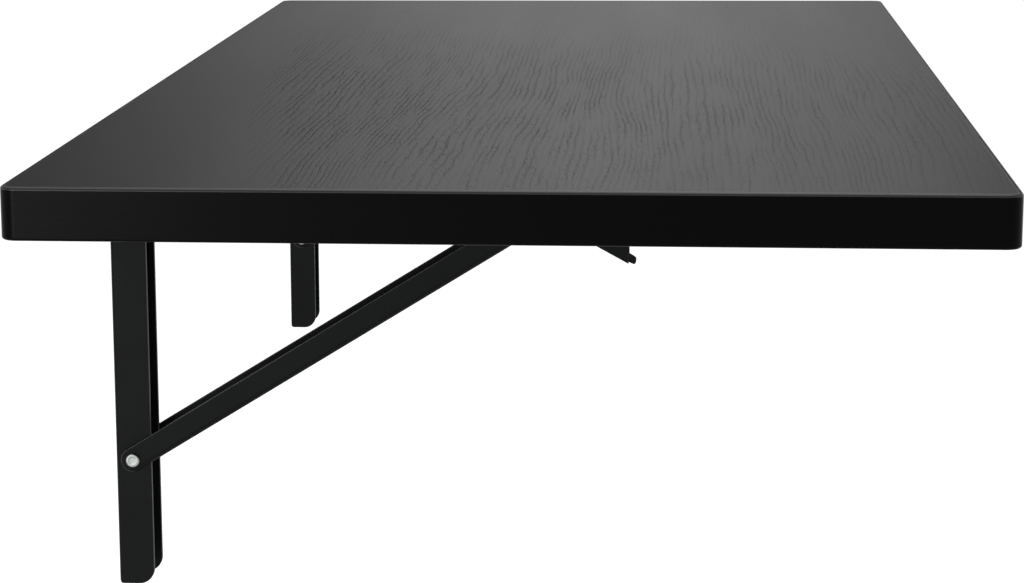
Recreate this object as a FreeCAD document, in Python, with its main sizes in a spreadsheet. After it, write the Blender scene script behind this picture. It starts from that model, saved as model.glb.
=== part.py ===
"""Wall mounted drop leaf table: one board carried by two folding steel brackets.

The frame is the wall. X points out of the wall, Y runs along it and Z is up. The origin lies
on the wall plane, at the centre of the four outer wall screw holes. All sizes are in mm.
"""
import math
import os
import re

import FreeCAD
import Part

DRIVING = (
    ("board_depth", 500.0, "board, out from the wall"),
    ("board_length", 1000.0, "board, along the wall"),
    ("core_thickness", 25.0, "particle board core"),
    ("foil_thickness", 1.0, "laminate on the top, backer underneath"),
    ("corner_radius", 8.5, "plan radius of the board's corners"),
    ("band_thickness", 2.0, "edge band"),
    ("band_round", 1.5, "rounded arris of the edge band"),
    ("rear_overhang", 26.0, "board behind the wall plates' back faces"),
    ("underside_height", 118.0, "board's underside above the origin"),
    ("bracket_inset", 155.0, "end of the board to the bracket's centre"),
    ("steel_thickness", 2.0, "sheet of plates, arms and braces"),
    ("bend_radius", 2.5, "outside radius of the folds"),
    ("plate_width", 26.0, "wall plate, along the wall"),
    ("plate_depth", 20.0, "wall plate, out from the wall"),
    ("plate_drop", 220.0, "underside of the board to the plate's lower end"),
    ("plate_top_gap", 3.0, "underside of the board to the plate's upper end"),
    ("plate_corner", 9.0, "round on the flanges' lower outer corner"),
    ("plate_heel", 2.0, "round on the lower corner at the wall"),
    ("wall_hole", 6.5, "wall screw holes"),
    ("wall_hole_spacing", 160.0, "outer wall screw holes, up the wall"),
    ("pivot_setback", 10.0, "both fixed pivots, out from the wall"),
    ("pivot_drop", 13.0, "arm pivot below the board's underside"),
    ("pivot_spacing", 135.0, "arm pivot down to brace pivot"),
    ("brace_length", 256.0, "brace pivot to slide pin"),
    ("brace_height", 13.4, "brace channel"),
    ("brace_side_gap", 0.5, "brace to wall plate, each side"),
    ("brace_open_foot", 80.0, "length at the foot without a web"),
    ("brace_open_head", 18.0, "length at the head without a web"),
    ("arm_side_gap", 2.0, "arm to brace, each side"),
    ("arm_height", 22.5, "arm channel"),
    ("arm_rear_gap", 0.5, "arm to the wall plane"),
    ("arm_length", 451.5, "arm channel"),
    ("arm_rear_round", 9.0, "lower rear corner of the arm"),
    ("arm_front_round", 12.0, "lower front corner of the arm"),
    ("slot_width", 7.6, "slide slot in the arm's flanges"),
    ("seat_depth", 2.5, "seat above the slide slot's near end"),
    ("arm_rivet", 8.0, "arm pivot shank"),
    ("arm_rivet_head", 13.0, "arm pivot head"),
    ("arm_rivet_head_height", 2.0, "arm pivot head"),
    ("brace_rivet", 5.0, "brace pivot shank"),
    ("brace_rivet_head", 7.7, "brace pivot head"),
    ("brace_rivet_head_height", 1.3, "brace pivot head"),
    ("slide_pin", 7.0, "pin through the brace's head"),
    ("slide_pin_gap", 0.45, "slide pin's ends to the arm, each side"),
    ("block_side_gap", 0.35, "slide block to brace, each side"),
    ("block_round", 7.5, "slide block round about the slide pin"),
    ("block_nose", 5.5, "slide block round about the lever pin"),
    ("block_top_gap", 0.8, "slide block to the arm's web"),
    ("lever_reach", 26.0, "slide pin to lever pin"),
    ("lever_thickness", 1.5, "release lever sheet"),
    ("lever_side_gap", 0.3, "lever to slide block, each side"),
    ("lever_height", 11.0, "release lever flanges"),
    ("lever_lift", 5.0, "lever pin above the lever's lower face"),
    ("lever_slope", 28.7, "release lever below the arm at rest"),
    ("lever_front", 29.4, "lever pin to the flanges' front edge"),
    ("lever_open_foot", 9.5, "lever pin to the start of the lever's web"),
    ("tab_reach", 40.0, "lever pin to the end of the finger tab"),
    ("tab_width", 18.0, "finger tab"),
    ("tab_round", 3.5, "finger tab corners"),
    ("lever_pin", 4.5, "lever pin shank"),
    ("lever_pin_head", 7.0, "lever pin head"),
    ("lever_pin_head_height", 1.2, "lever pin head"),
    ("spring_pocket", 9.0, "width and depth of the pocket for the spring"),
    ("spring_wire", 1.0, "lever spring wire"),
    ("spring_coil", 8.0, "lever spring's coils, across the middle of the wire"),
    ("spring_pitch", 1.35, "lever spring, coil to coil"),
    ("spring_rear_leg", 6.0, "lever pin to the end of the spring's rear leg"),
    ("spring_front_bend", 8.0, "lever pin to the bend of the spring's front leg"),
    ("spring_front_leg", 20.0, "lever pin to the end of the spring's front leg"),
    ("running_clearance", 0.2, "hole over shank, on the diameter"),
    ("head_gap", 0.3, "rivet heads and spacers to the piece that turns"),
    ("brace_head_gap", 0.2, "brace rivet heads to the brace"),
    ("screw_shank", 5.0, "board screws"),
    ("screw_head", 9.0, "board screws"),
    ("screw_head_height", 2.4, "board screws"),
    ("screw_length", 22.0, "board screws, under the head"),
    ("recess_reach", 4.8, "cross recess, over both its arms"),
    ("recess_width", 1.0, "cross recess, width of an arm"),
    ("recess_depth", 1.4, "cross recess"),
    ("screw_hole", 5.4, "board screw holes in the arm"),
    ("first_screw", 36.0, "arm pivot to screw"),
    ("second_screw", 95.0, "arm pivot to screw"),
    ("third_screw", 150.0, "arm pivot to screw"),
    ("block_screw", 27.5, "slide pin back to the nearest screw"),
    ("end_screw", 430.0, "arm pivot to screw"),
)

DERIVED = (
    ("bracket_spacing", "board_length - 2 * bracket_inset"),
    ("board_thickness", "core_thickness + 2 * foil_thickness"),
    ("pivot_height", "underside_height - pivot_drop"),
    ("brace_pivot_height", "pivot_height - pivot_spacing"),
    ("slide_start", "pivot_setback + sqrt(brace_length ^ 2 - pivot_spacing ^ 2)"),
    ("slide_end", "pivot_setback + pivot_spacing + brace_length"),
    ("fourth_screw", "slide_start - pivot_setback - block_screw"),
    ("lever_pivot", "slide_start + lever_reach"),
    ("plate_top", "underside_height - plate_top_gap"),
    ("plate_bottom", "underside_height - plate_drop"),
    ("brace_inner", "plate_width + 2 * brace_side_gap"),
    ("brace_outer", "brace_inner + 2 * steel_thickness"),
    ("arm_inner", "brace_outer + 2 * arm_side_gap"),
    ("arm_outer", "arm_inner + 2 * steel_thickness"),
    ("block_width", "brace_inner - 2 * block_side_gap"),
    ("lever_inner", "block_width + 2 * lever_side_gap"),
    ("lever_outer", "lever_inner + 2 * lever_thickness"),
    ("slot_fall", "seat_depth / (slide_end - slide_start)"),
)

SCREWS = ("first_screw", "second_screw", "third_screw", "fourth_screw", "end_screw")
BRACKETS = (("near", "-bracket_spacing / 2"), ("far", "bracket_spacing / 2"))
CUTTER = 60.0
HEAD_TURNING = 0.6  # round on a rivet head's rim, as a share of its height
NAMES = {row[0] for row in DRIVING} | {row[0] for row in DERIVED}

doc = FreeCAD.newDocument("drop_leaf_table")
sheet = doc.addObject("Spreadsheet::Sheet", "Sizes")
for row, (name, value, note) in enumerate(DRIVING, start=1):
    sheet.set(f"A{row}", name)
    sheet.set(f"B{row}", str(value))
    sheet.set(f"C{row}", note)
    sheet.setAlias(f"B{row}", name)
for row, (name, formula) in enumerate(DERIVED, start=len(DRIVING) + 1):
    sheet.set(f"A{row}", name)
    sheet.set(f"B{row}", "=" + formula)
    sheet.setAlias(f"B{row}", name)
doc.recompute()

nodes = {}


def bound(formula):
    """A formula in the sheet's names, as an expression that other objects can hold."""
    return re.sub(r"[a-z_]+", lambda m: f"Sizes.{m[0]}" if m[0] in NAMES else m[0], formula)


def size(name):
    """The present value of a named size."""
    return float(sheet.get(name))


def place(item, start, axis=(0, 0, 1), angle="0"):
    """Put an object at a start point, turned about an axis, all by formulas."""
    item.Placement = FreeCAD.Placement(FreeCAD.Vector(), FreeCAD.Rotation(FreeCAD.Vector(*axis), 1))
    for letter, formula in zip("xyz", start):
        item.setExpression(f"Placement.Base.{letter}", bound(formula))
    item.setExpression("Placement.Rotation.Angle", bound(angle))
    return item


def box(name, start, extent):
    """A box from its lowest corner and its extent in X, Y and Z."""
    item = doc.addObject("Part::Box", name)
    for prop, formula in zip(("Length", "Width", "Height"), extent):
        item.setExpression(prop, bound(formula))
    return place(item, start)


def cylinder(name, start, diameter, length, along="Y"):
    """A cylinder that begins at a point and runs along X, Y or Z."""
    item = doc.addObject("Part::Cylinder", name)
    item.setExpression("Radius", bound(f"({diameter}) / 2"))
    item.setExpression("Height", bound(length))
    axis, angle = {"X": ((0, 1, 0), "90"), "Y": ((-1, 0, 0), "90"), "Z": ((0, 0, 1), "0")}[along]
    return place(item, start, axis, angle)


def fuse(name, items):
    """One solid from several that overlap."""
    item = doc.addObject("Part::MultiFuse", name)
    item.Shapes = items
    item.Refine = True
    return item


def cut(name, base, tools):
    """A base with one or more tools taken away."""
    item = doc.addObject("Part::Cut", name)
    item.Base = base
    item.Tool = tools[0] if len(tools) == 1 else fuse(name + "_tools", tools)
    item.Refine = True
    return item


def rounded(name, base, picks):
    """Round straight edges; a pick is the edges' direction, where they lie and the radius."""
    doc.recompute()
    item = doc.addObject("Part::Fillet", name)
    item.Base = base
    edges = []
    for along, where, radius in picks:
        for number, edge in enumerate(base.Shape.Edges, start=1):
            ends = [vertex.Point for vertex in edge.Vertexes]
            if len(ends) != 2 or edge.Curve.TypeId != "Part::GeomLine":
                continue
            run = ends[1] - ends[0]
            if abs(abs(getattr(run, along)) - run.Length) > 1e-6:
                continue
            middle = (ends[0] + ends[1]) / 2
            if all(abs(getattr(middle, letter) - at) < 1e-4 for letter, at in where.items()):
                edges.append((number, radius, radius))
    item.Edges = edges
    return item


def node(name, item):
    """Name the finished object of one piece."""
    item.Label = name
    nodes[name] = item
    return item


def slab(name, inset, low, thick):
    """A flat board with rounded corners, set in from the outline by a formula."""
    blank = box(
        name + "_blank",
        (f"-rear_overhang + {inset}", f"-board_length / 2 + {inset}", low),
        (f"board_depth - 2 * {inset}", f"board_length - 2 * {inset}", thick),
    )
    inward = 0.0 if inset == "0" else size(inset)
    radius = size("corner_radius") - inward
    back = -size("rear_overhang") + inward
    front = back + size("board_depth") - 2 * inward
    side = size("board_length") / 2 - inward
    corners = [("z", {"x": x, "y": y}, radius) for x in (back, front) for y in (-side, side)]
    return rounded(name + "_rounded", blank, corners)


def pilot_holes(name, low, depth):
    """The holes that the board screws have made in a layer of the board."""
    return [
        cylinder(f"{name}_{side}_{screw}", (f"pivot_setback + {screw}", middle, low),
                 "screw_shank", depth, "Z")
        for side, middle in BRACKETS
        for screw in SCREWS
    ]


def board():
    """The four layers of the board."""
    core_low = "underside_height + foil_thickness"
    core = slab("core", "band_thickness", core_low, "core_thickness")
    depth = "screw_length - steel_thickness - foil_thickness"
    node("tabletop_core", cut("tabletop_core", core, pilot_holes("core", core_low, depth)))

    top_low = "underside_height + foil_thickness + core_thickness"
    node("top_laminate", slab("laminate", "band_thickness", top_low, "foil_thickness"))

    backer = slab("backer", "band_thickness", "underside_height", "foil_thickness")
    holes = pilot_holes("backer", "underside_height", "foil_thickness")
    node("bottom_backer", cut("bottom_backer", backer, holes))

    outside = slab("band_outside", "0", "underside_height", "board_thickness")
    doc.recompute()
    arrises = doc.addObject("Part::Fillet", "band_arrises")
    arrises.Base = outside
    radius = size("band_round")
    arrises.Edges = [
        (number, radius, radius)
        for number, edge in enumerate(outside.Shape.Edges, start=1)
        if edge.BoundBox.ZLength < 1e-6
    ]
    inside = slab("band_inside", "band_thickness", "underside_height", "board_thickness")
    node("edge_band", cut("edge_band", arrises, [inside]))


def wall_plate(side, middle):
    """The upright channel on the wall, web to the wall, flanges outward."""
    blank = box(
        f"{side}_plate_blank",
        ("0", f"{middle} - plate_width / 2", "plate_bottom"),
        ("plate_depth", "plate_width", "plate_top - plate_bottom"),
    )
    deep, low, high = size("plate_depth"), size("plate_bottom"), size("plate_top")
    edge = size("plate_width") / 2
    centre = size("bracket_spacing") / 2 * (-1 if side == "near" else 1)
    picks = [
        ("y", {"x": deep, "z": high}, deep - size("pivot_setback")),
        ("y", {"x": deep, "z": low}, size("plate_corner")),
        ("y", {"x": 0.0, "z": low}, size("plate_heel")),
        ("z", {"x": 0.0, "y": centre - edge}, size("bend_radius")),
        ("z", {"x": 0.0, "y": centre + edge}, size("bend_radius")),
    ]
    shell = rounded(f"{side}_plate_shell", blank, picks)
    inside = box(
        f"{side}_plate_inside",
        ("steel_thickness", f"{middle} - plate_width / 2 + steel_thickness", "plate_bottom - 1"),
        ("plate_depth", "plate_width - 2 * steel_thickness", "plate_top - plate_bottom + 2"),
    )
    holes = [
        cylinder(f"{side}_wall_hole_{place_name}", ("-1", middle, height), "wall_hole", "10", "X")
        for place_name, height in (
            ("upper", "wall_hole_spacing / 2"), ("middle", "0"), ("lower", "-wall_hole_spacing / 2")
        )
    ]
    start = f"{middle} - plate_width"
    pivots = [
        cylinder(f"{side}_plate_arm_hole", ("pivot_setback", start, "pivot_height"),
                 "arm_rivet", "2 * plate_width"),
        cylinder(f"{side}_plate_brace_hole", ("pivot_setback", start, "brace_pivot_height"),
                 "brace_rivet", "2 * plate_width"),
    ]
    node(f"{side}_wall_plate", cut(f"{side}_wall_plate", shell, [inside] + holes + pivots))


def leaf_arm(side, middle):
    """The arm under the board: a channel, web up, with the slide slot in both flanges."""
    low = "underside_height - arm_height"
    blank = box(
        f"{side}_arm_blank",
        ("arm_rear_gap", f"{middle} - arm_outer / 2", low),
        ("arm_length", "arm_outer", "arm_height"),
    )
    rear = size("arm_rear_gap")
    front = rear + size("arm_length")
    top = size("underside_height")
    bottom = top - size("arm_height")
    centre = size("bracket_spacing") / 2 * (-1 if side == "near" else 1)
    edge = size("arm_outer") / 2
    picks = [
        ("y", {"x": rear, "z": bottom}, size("arm_rear_round")),
        ("y", {"x": front, "z": bottom}, size("arm_front_round")),
        ("x", {"z": top, "y": centre - edge}, size("bend_radius")),
        ("x", {"z": top, "y": centre + edge}, size("bend_radius")),
    ]
    shell = rounded(f"{side}_arm_shell", blank, picks)
    inside = box(
        f"{side}_arm_inside",
        ("arm_rear_gap - 1", f"{middle} - arm_inner / 2", f"{low} - 1"),
        ("arm_length + 2", "arm_inner", "arm_height - steel_thickness + 1"),
    )
    start = f"{middle} - arm_outer"
    across = "2 * arm_outer"
    tools = [
        inside,
        cylinder(f"{side}_arm_pivot_hole", ("pivot_setback", start, "pivot_height"),
                 "arm_rivet + running_clearance", across),
        cylinder(f"{side}_slot_seat", ("slide_start", start, "pivot_height"), "slot_width", across),
        cylinder(f"{side}_slot_near", ("slide_start", start, "pivot_height - seat_depth"),
                 "slot_width", across),
        cylinder(f"{side}_slot_far", ("slide_end", start, "pivot_height"), "slot_width", across),
        box(f"{side}_slot_rise",
            ("slide_start - slot_width / 2", start, "pivot_height - seat_depth"),
            ("slot_width", across, "seat_depth")),
        slot_run(side, start, across),
    ]
    for screw in SCREWS:
        tools.append(cylinder(
            f"{side}_arm_{screw}", (f"pivot_setback + {screw}", middle, "underside_height - 10"),
            "screw_hole", "20", "Z"))
    node(f"{side}_leaf_arm", cut(f"{side}_leaf_arm", shell, tools))


def slot_run(side, start, across):
    """The long straight part of the slide slot, which climbs gently to its far end."""
    run = doc.addObject("Part::Box", f"{side}_slot_run")
    run.setExpression("Length", bound("sqrt((slide_end - slide_start) ^ 2 + seat_depth ^ 2)"))
    run.setExpression("Width", bound(across))
    run.setExpression("Height", bound("slot_width"))
    angle = "atan(slot_fall)"
    corner = (
        f"slide_start + slot_width / 2 * sin({angle})",
        start,
        f"pivot_height - seat_depth - slot_width / 2 * cos({angle})",
    )
    return place(run, corner, (0, -1, 0), angle)


def folding_brace(side, middle):
    """The strut: a channel that straddles the wall plate, open upward, web below."""
    half = "brace_height / 2"
    wide = "brace_outer"
    body = fuse(f"{side}_brace_body", [
        box(f"{side}_brace_run", ("0", f"-{wide} / 2", f"-{half}"),
            ("brace_length", wide, "brace_height")),
        cylinder(f"{side}_brace_foot", ("0", f"-{wide} / 2", "0"), "brace_height", wide),
        cylinder(f"{side}_brace_head", ("brace_length", f"-{wide} / 2", "0"), "brace_height", wide),
    ])
    inner_start = "-brace_inner / 2"
    tools = [
        box(f"{side}_brace_inside",
            (f"-{CUTTER}", inner_start, f"-{half} + steel_thickness"),
            (f"brace_length + {2 * CUTTER}", "brace_inner", "brace_height")),
        box(f"{side}_brace_foot_gap", (f"-{CUTTER}", inner_start, f"-{CUTTER / 2}"),
            (f"brace_open_foot + {CUTTER}", "brace_inner", str(CUTTER))),
        box(f"{side}_brace_head_gap",
            ("brace_length - brace_open_head", inner_start, f"-{CUTTER / 2}"),
            (str(CUTTER), "brace_inner", str(CUTTER))),
        cylinder(f"{side}_brace_foot_hole", ("0", f"-{CUTTER / 2}", "0"),
                 "brace_rivet + running_clearance", str(CUTTER)),
        cylinder(f"{side}_brace_head_hole", ("brace_length", f"-{CUTTER / 2}", "0"),
                 "slide_pin", str(CUTTER)),
    ]
    for sign, name in ((-1, "front"), (1, "back")):
        tools.append(fold_round(f"{side}_brace_{name}", sign))
    item = cut(f"{side}_folding_brace", body, tools)
    place(item, ("pivot_setback", middle, "brace_pivot_height"), (0, -1, 0),
          "asin(pivot_spacing / brace_length)")
    node(f"{side}_folding_brace", item)


def fold_round(name, sign):
    """What a fold takes off the square lower edge of the brace, along its web."""
    start = "brace_open_foot"
    run = "brace_length - brace_open_foot - brace_open_head"
    low = "-brace_height / 2"
    outer = f"{sign} * brace_outer / 2"
    shift = "0" if sign < 0 else "-bend_radius"
    corner = box(name + "_corner", (start, f"{outer} + {shift}", low),
                 (run, "bend_radius", "bend_radius"))
    centre = f"{outer} - {sign} * bend_radius"
    keep = cylinder(name + "_keep", (start, centre, f"{low} + bend_radius"), "2 * bend_radius", run,
                    "X")
    return cut(name + "_fold", corner, [keep])


def rivet(name, centre, middle, shank, head, head_height, inner_face):
    """A cross rivet with a head outside each flange; the heads' rims are turned round."""
    x, z = centre
    shaft = cylinder(name + "_shank", (x, f"{middle} - ({inner_face})", z), shank,
                     f"2 * ({inner_face})")
    heads = []
    for sign, end in ((-1, "front"), (1, "back")):
        start = f"{middle} + {inner_face}" if sign > 0 else f"{middle} - ({inner_face}) - {head_height}"
        disc = cylinder(f"{name}_{end}_disc", (x, start, z), head, head_height)
        doc.recompute()
        outward = max if sign > 0 else min
        rim = outward(
            (edge.CenterOfMass.y, number)
            for number, edge in enumerate(disc.Shape.Edges, start=1)
            if edge.Curve.TypeId == "Part::GeomCircle"
        )[1]
        turned = doc.addObject("Part::Fillet", f"{name}_{end}_head")
        turned.Base = disc
        radius = HEAD_TURNING * size(head_height)
        turned.Edges = [(rim, radius, radius)]
        heads.append(turned)
    return node(name, fuse(name, [shaft] + heads))


def pivots(side, middle):
    """Rivets, spacers and the slide pin of one bracket."""
    rivet(f"{side}_arm_pivot_rivet", ("pivot_setback", "pivot_height"), middle, "arm_rivet",
          "arm_rivet_head", "arm_rivet_head_height", "arm_outer / 2 + head_gap")
    rivet(f"{side}_brace_pivot_rivet", ("pivot_setback", "brace_pivot_height"), middle,
          "brace_rivet", "brace_rivet_head", "brace_rivet_head_height",
          "brace_outer / 2 + brace_head_gap")
    rivet(f"{side}_lever_pin", ("lever_pivot", "pivot_height"), middle, "lever_pin",
          "lever_pin_head", "lever_pin_head_height", "lever_outer / 2 + head_gap")

    thick = "(arm_inner - plate_width) / 2 - head_gap"
    spacers = []
    for end, start in (
        ("front", f"{middle} - arm_inner / 2 + head_gap"), ("back", f"{middle} + plate_width / 2")
    ):
        ring = cylinder(f"{side}_spacer_{end}_ring", ("pivot_setback", start, "pivot_height"),
                        "arm_rivet_head", thick)
        bore = cylinder(f"{side}_spacer_{end}_bore", ("pivot_setback", start, "pivot_height"),
                        "arm_rivet", thick)
        spacers.append(cut(f"{side}_spacer_{end}", ring, [bore]))
    group = doc.addObject("Part::Compound", f"{side}_arm_spacers")
    group.Links = spacers
    node(f"{side}_arm_spacers", group)

    reach = "arm_inner / 2 - slide_pin_gap"
    pin = cylinder(f"{side}_slide_pin", ("slide_start", f"{middle} - ({reach})", "pivot_height"),
                   "slide_pin", f"2 * ({reach})")
    node(f"{side}_slide_pin", pin)


def slide_block(side, middle):
    """The block that runs in the arm, carrying the brace's head and the lever."""
    start = f"{middle} - block_width / 2"
    body = fuse(f"{side}_block_body", [
        cylinder(f"{side}_block_tail", ("slide_start", start, "pivot_height"),
                 "2 * block_round", "block_width"),
        cylinder(f"{side}_block_tip", ("lever_pivot", start, "pivot_height"),
                 "2 * block_nose", "block_width"),
        box(f"{side}_block_run", ("slide_start", start, "pivot_height - block_nose"),
            ("lever_reach", "block_width", "2 * block_nose")),
        box(f"{side}_block_pad", ("slide_start - block_nose", start, "pivot_height"),
            ("lever_reach + block_nose", "block_width",
             "pivot_drop - steel_thickness - block_top_gap")),
    ])
    tools = [
        cylinder(f"{side}_block_slide_bore", ("slide_start", f"{middle} - {CUTTER / 2}", "pivot_height"),
                 "slide_pin + running_clearance", str(CUTTER)),
        cylinder(f"{side}_block_lever_bore", ("lever_pivot", f"{middle} - {CUTTER / 2}", "pivot_height"),
                 "lever_pin", str(CUTTER)),
        box(f"{side}_block_pocket",
            ("lever_pivot - spring_pocket", f"{middle} - spring_pocket / 2",
             f"pivot_height - {CUTTER / 2}"),
            (str(CUTTER), "spring_pocket", str(CUTTER))),
    ]
    node(f"{side}_slide_block", cut(f"{side}_slide_block", body, tools))


def release_lever(side, middle):
    """The sheet lever that hangs from the slide block, with a finger tab at its tip."""
    wide = "lever_outer"
    inner_start = "-lever_inner / 2"
    rear = "(lever_height / 2 - lever_lift)"
    body = fuse(f"{side}_lever_body", [
        box(f"{side}_lever_run", ("0", f"-{wide} / 2", "-lever_lift"),
            ("tab_reach", wide, "lever_height")),
        cylinder(f"{side}_lever_tail", ("0", f"-{wide} / 2", rear), "lever_height", wide),
    ])
    trim = doc.addObject("Part::Box", f"{side}_lever_trim")
    for prop in ("Length", "Width", "Height"):
        trim.setExpression(prop, str(2 * CUTTER))
    place(trim, (
        f"lever_front * cos(lever_slope * 1 deg) + {CUTTER} * sin(lever_slope * 1 deg)",
        f"-{CUTTER}",
        f"lever_front * sin(lever_slope * 1 deg) - {CUTTER} * cos(lever_slope * 1 deg)",
    ), (0, -1, 0), "lever_slope")
    channel = cut(f"{side}_lever_channel", body, [
        trim,
        box(f"{side}_lever_inside", (f"-{CUTTER}", inner_start, "-lever_lift + lever_thickness"),
            (str(3 * CUTTER), "lever_inner", str(CUTTER))),
        box(f"{side}_lever_foot", (f"-{CUTTER}", inner_start, f"-{CUTTER / 2}"),
            (f"lever_open_foot + {CUTTER}", "lever_inner", str(CUTTER))),
        cylinder(f"{side}_lever_bore", ("0", f"-{CUTTER / 2}", "0"),
                 "lever_pin + running_clearance", str(CUTTER)),
    ])
    tab_start = "(lever_open_foot + lever_front) / 2"
    tab = box(f"{side}_tab_blank", (tab_start, "-tab_width / 2", "-lever_lift"),
              (f"tab_reach - {tab_start}", "tab_width", "lever_thickness"))
    reach, edge = size("tab_reach"), size("tab_width") / 2
    tip = rounded(f"{side}_tab", tab, [
        ("z", {"x": reach, "y": y}, size("tab_round")) for y in (-edge, edge)
    ])
    item = fuse(f"{side}_release_lever", [channel, tip])
    place(item, ("lever_pivot", middle, "pivot_height"), (0, 1, 0), "lever_slope")
    node(f"{side}_release_lever", item)


def lever_spring(side, middle_y):
    """A wire torsion spring about the lever pin, one leg on the lever's web.

    The wire is swept along short straight runs, which keeps its faces few and plain.
    """
    turns, per_turn = 4, 16
    wire, coil, rise = size("spring_wire") / 2, size("spring_coil") / 2, size("spring_pitch")
    seat = -size("lever_lift") + size("lever_thickness") + wire
    start_y = -turns * rise / 2
    points = [FreeCAD.Vector(-size("spring_rear_leg"), start_y, -coil)]
    for step in range(turns * per_turn + 1):
        angle = 2 * math.pi * step / per_turn
        points.append(FreeCAD.Vector(
            coil * math.sin(angle), start_y + rise * step / per_turn, -coil * math.cos(angle)))
    for reach in ("spring_front_bend", "spring_front_leg"):
        points.append(FreeCAD.Vector(size(reach), -start_y, seat))
    section = Part.Wire(Part.makeCircle(wire, points[0], FreeCAD.Vector(1, 0, 0)))
    mitred = 1
    spring = doc.addObject("Part::Feature", f"{side}_lever_spring")
    spring.Shape = Part.makePolygon(points).makePipeShell([section], True, True, mitred)
    spring.Placement = FreeCAD.Placement(
        FreeCAD.Vector(size("lever_pivot"), middle_y, size("pivot_height")),
        FreeCAD.Rotation(FreeCAD.Vector(0, 1, 0), size("lever_slope")))
    node(f"{side}_lever_spring", spring)


def arm_screws(side, middle):
    """The pan head screws that hold the board on one arm."""
    screws = []
    face = "underside_height - steel_thickness"
    for screw in SCREWS:
        x = f"pivot_setback + {screw}"
        blank = fuse(f"{side}_{screw}_blank", [
            cylinder(f"{side}_{screw}_shank", (x, middle, face), "screw_shank", "screw_length", "Z"),
            cylinder(f"{side}_{screw}_head", (x, middle, f"{face} - screw_head_height"),
                     "screw_head", "screw_head_height", "Z"),
        ])
        low = f"{face} - screw_head_height"
        cross = [
            box(f"{side}_{screw}_recess_{name}", (f"{x} - {long} / 2", f"{middle} - {wide} / 2", low),
                (long, wide, "recess_depth"))
            for name, long, wide in (("out", "recess_reach", "recess_width"),
                                     ("along", "recess_width", "recess_reach"))
        ]
        screws.append(cut(f"{side}_{screw}_driven", blank, cross))
    group = doc.addObject("Part::Compound", f"{side}_arm_screws")
    group.Links = screws
    node(f"{side}_arm_screws", group)


board()
for side_name, middle_formula in BRACKETS:
    wall_plate(side_name, middle_formula)
    leaf_arm(side_name, middle_formula)
    folding_brace(side_name, middle_formula)
    pivots(side_name, middle_formula)
    slide_block(side_name, middle_formula)
    release_lever(side_name, middle_formula)
    half_spacing = size("bracket_spacing") / 2
    lever_spring(side_name, -half_spacing if side_name == "near" else half_spacing)
    arm_screws(side_name, middle_formula)
doc.recompute()

for item in doc.Objects:
    if "Invalid" in item.State or "Error" in item.State:
        raise RuntimeError(f"{item.Name} did not rebuild: {item.State}")
os.makedirs("parts", exist_ok=True)
for name, item in nodes.items():
    shape = item.Shape
    if shape.isNull() or not shape.isValid() or not shape.Solids:
        raise RuntimeError(f"{name} has no valid solid")
    shape.exportStep(os.path.join("parts", f"{name}.step"))
    print(f"{name}: {len(shape.Solids)} solid(s), {shape.Volume:.0f} mm3")
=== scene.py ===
"""Looks of the wall mounted drop leaf table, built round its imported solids.

Everything is in metres in the part's own frame: X out of the wall, Y along it, Z up.
Sizes that a maker would give in millimetres are fields in millimetres.
"""
import logging
import math
from collections.abc import Callable, Iterable
from dataclasses import dataclass
from enum import Enum

import bpy
from mathutils import Matrix, Vector


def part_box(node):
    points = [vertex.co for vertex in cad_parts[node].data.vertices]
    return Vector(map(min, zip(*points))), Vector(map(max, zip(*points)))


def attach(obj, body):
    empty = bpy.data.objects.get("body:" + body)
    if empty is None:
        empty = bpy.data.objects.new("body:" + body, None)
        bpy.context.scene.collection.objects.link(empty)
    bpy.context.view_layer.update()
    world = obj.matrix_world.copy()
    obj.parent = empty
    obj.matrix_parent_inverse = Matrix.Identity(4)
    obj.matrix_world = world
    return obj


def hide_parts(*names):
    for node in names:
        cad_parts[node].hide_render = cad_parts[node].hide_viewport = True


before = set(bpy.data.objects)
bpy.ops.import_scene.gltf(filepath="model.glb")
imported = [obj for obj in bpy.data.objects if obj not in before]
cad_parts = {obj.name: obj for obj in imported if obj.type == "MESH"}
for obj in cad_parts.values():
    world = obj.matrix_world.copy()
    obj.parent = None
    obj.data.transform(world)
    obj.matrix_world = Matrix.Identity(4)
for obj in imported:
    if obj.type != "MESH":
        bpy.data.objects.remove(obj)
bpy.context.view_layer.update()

log = logging.getLogger("drop_leaf_table")
MM = 0.001
# Points nearer than this, in metres, count as one.
FINE = 1e-6
# A face whose normal has this much along an axis faces that way.
FACING = 0.9
# Faces that turn by less than this many degrees are one flat.
FLAT = 0.5


class Element(Enum):
    """What is picked in edit mode."""

    POINT = "VERT"
    EDGE = "EDGE"
    FACE = "FACE"


class Along(Enum):
    """The direction a rod runs in, with the turn that a primitive needs for it."""

    X = (0.0, math.pi / 2, 0.0)
    Y = (math.pi / 2, 0.0, 0.0)
    Z = (0.0, 0.0, 0.0)


class Side(Enum):
    """The two brackets."""

    NEAR = "near"
    FAR = "far"


def corners_of(node: str) -> tuple[Vector, Vector]:
    """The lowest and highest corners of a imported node's box, in metres."""
    low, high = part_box(node)
    return Vector(low), Vector(high)


def middle_of(node: str) -> Vector:
    """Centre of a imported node's box, in metres."""
    low, high = corners_of(node)
    return (low + high) / 2


def level_with(points: Iterable[Vector], axis: int, height: float) -> bool:
    """Whether all points lie at one height along an axis."""
    return all(abs(point[axis] - height) < FINE for point in points)


def activate(item: bpy.types.Object) -> None:
    """Select one object alone and make it the active one.

    Args:
        item: The object to work on.
    """
    bpy.ops.object.select_all(action="DESELECT")
    item.select_set(True)
    bpy.context.view_layer.objects.active = item


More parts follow.
